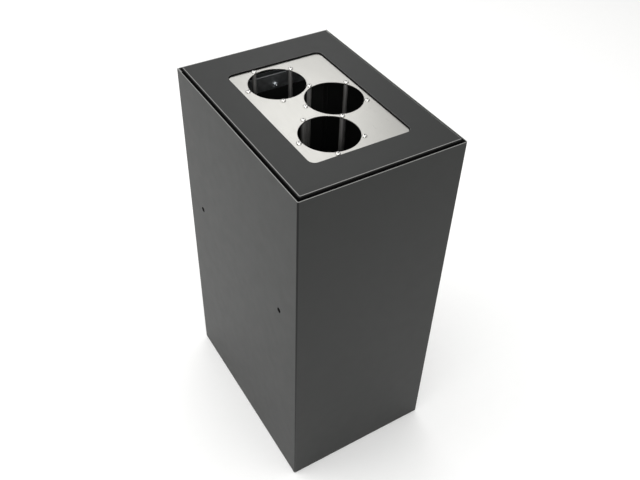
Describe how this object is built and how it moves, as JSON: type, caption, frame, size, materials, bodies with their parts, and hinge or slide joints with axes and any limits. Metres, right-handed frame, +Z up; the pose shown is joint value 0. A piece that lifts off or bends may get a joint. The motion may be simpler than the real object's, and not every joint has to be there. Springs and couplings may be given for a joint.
{
  "type": "recycling bin station",
  "caption": "Tall box-shaped cup recycling station with a hinged top frame and a lift-out cage of guide rods under round openings in a recessed plate.",
  "frame": {"origin": "middle of the footprint, on the floor under the feet", "axes": "+Z up, +X to the right when facing the front, the hinge edge is at +Y and the front at -Y"},
  "size_m": [0.32, 0.44, 0.75],
  "materials": {
    "powder_coated_steel": "satin fine-texture powder coat, anthracite",
    "brushed_stainless": "fine brushed",
    "bright_stainless": "drawn and polished",
    "zinc_plated_steel": "blue-white zinc",
    "grey_polypropylene": "moulded",
    "black_nylon": "moulded",
    "black_rubber": "moulded"
  },
  "bodies": {
    "casing": {"casing_wrap": "powder_coated_steel", "rear_panel": "powder_coated_steel", "base_pan": "powder_coated_steel", "feet": "black_nylon", "foot_nuts": "zinc_plated_steel", "left_runner": "zinc_plated_steel", "right_runner": "zinc_plated_steel", "locating_pins": "bright_stainless", "drip_tray": "grey_polypropylene", "left_ledge": "powder_coated_steel", "right_ledge": "powder_coated_steel", "front_ledge": "powder_coated_steel", "lid_buffers": "black_rubber", "rear_angle": "zinc_plated_steel", "angle_studs": "zinc_plated_steel", "angle_nuts": "zinc_plated_steel", "hinge_fixed_leaf": "bright_stainless", "hinge_pin": "bright_stainless"},
    "lid": {"lid_frame": "powder_coated_steel", "hinge_moving_leaf": "bright_stainless"},
    "cage": {"top_plate": "brushed_stainless", "bottom_plate": "brushed_stainless", "guide_rod_01": "bright_stainless", "guide_rod_02": "bright_stainless", "guide_rod_03": "bright_stainless", "guide_rod_04": "bright_stainless", "guide_rod_05": "bright_stainless", "guide_rod_06": "bright_stainless", "guide_rod_07": "bright_stainless", "guide_rod_08": "bright_stainless", "guide_rod_09": "bright_stainless", "guide_rod_10": "bright_stainless", "guide_rod_11": "bright_stainless", "guide_rod_12": "bright_stainless", "guide_rod_13": "bright_stainless", "top_screws": "bright_stainless", "bottom_screws": "bright_stainless"}
  },
  "joints": [
    {"name": "lid_hinge", "type": "hinge", "parent": "casing", "child": "lid", "pos_m": [0, 0.21625, 0.745], "axis": [-1, 0, 0], "range_deg": [0, 100]},
    {"name": "cage_lift", "type": "slide", "parent": "casing", "child": "cage", "axis": [0, 0, 1], "range_m": [0, 0.705]}
  ]
}
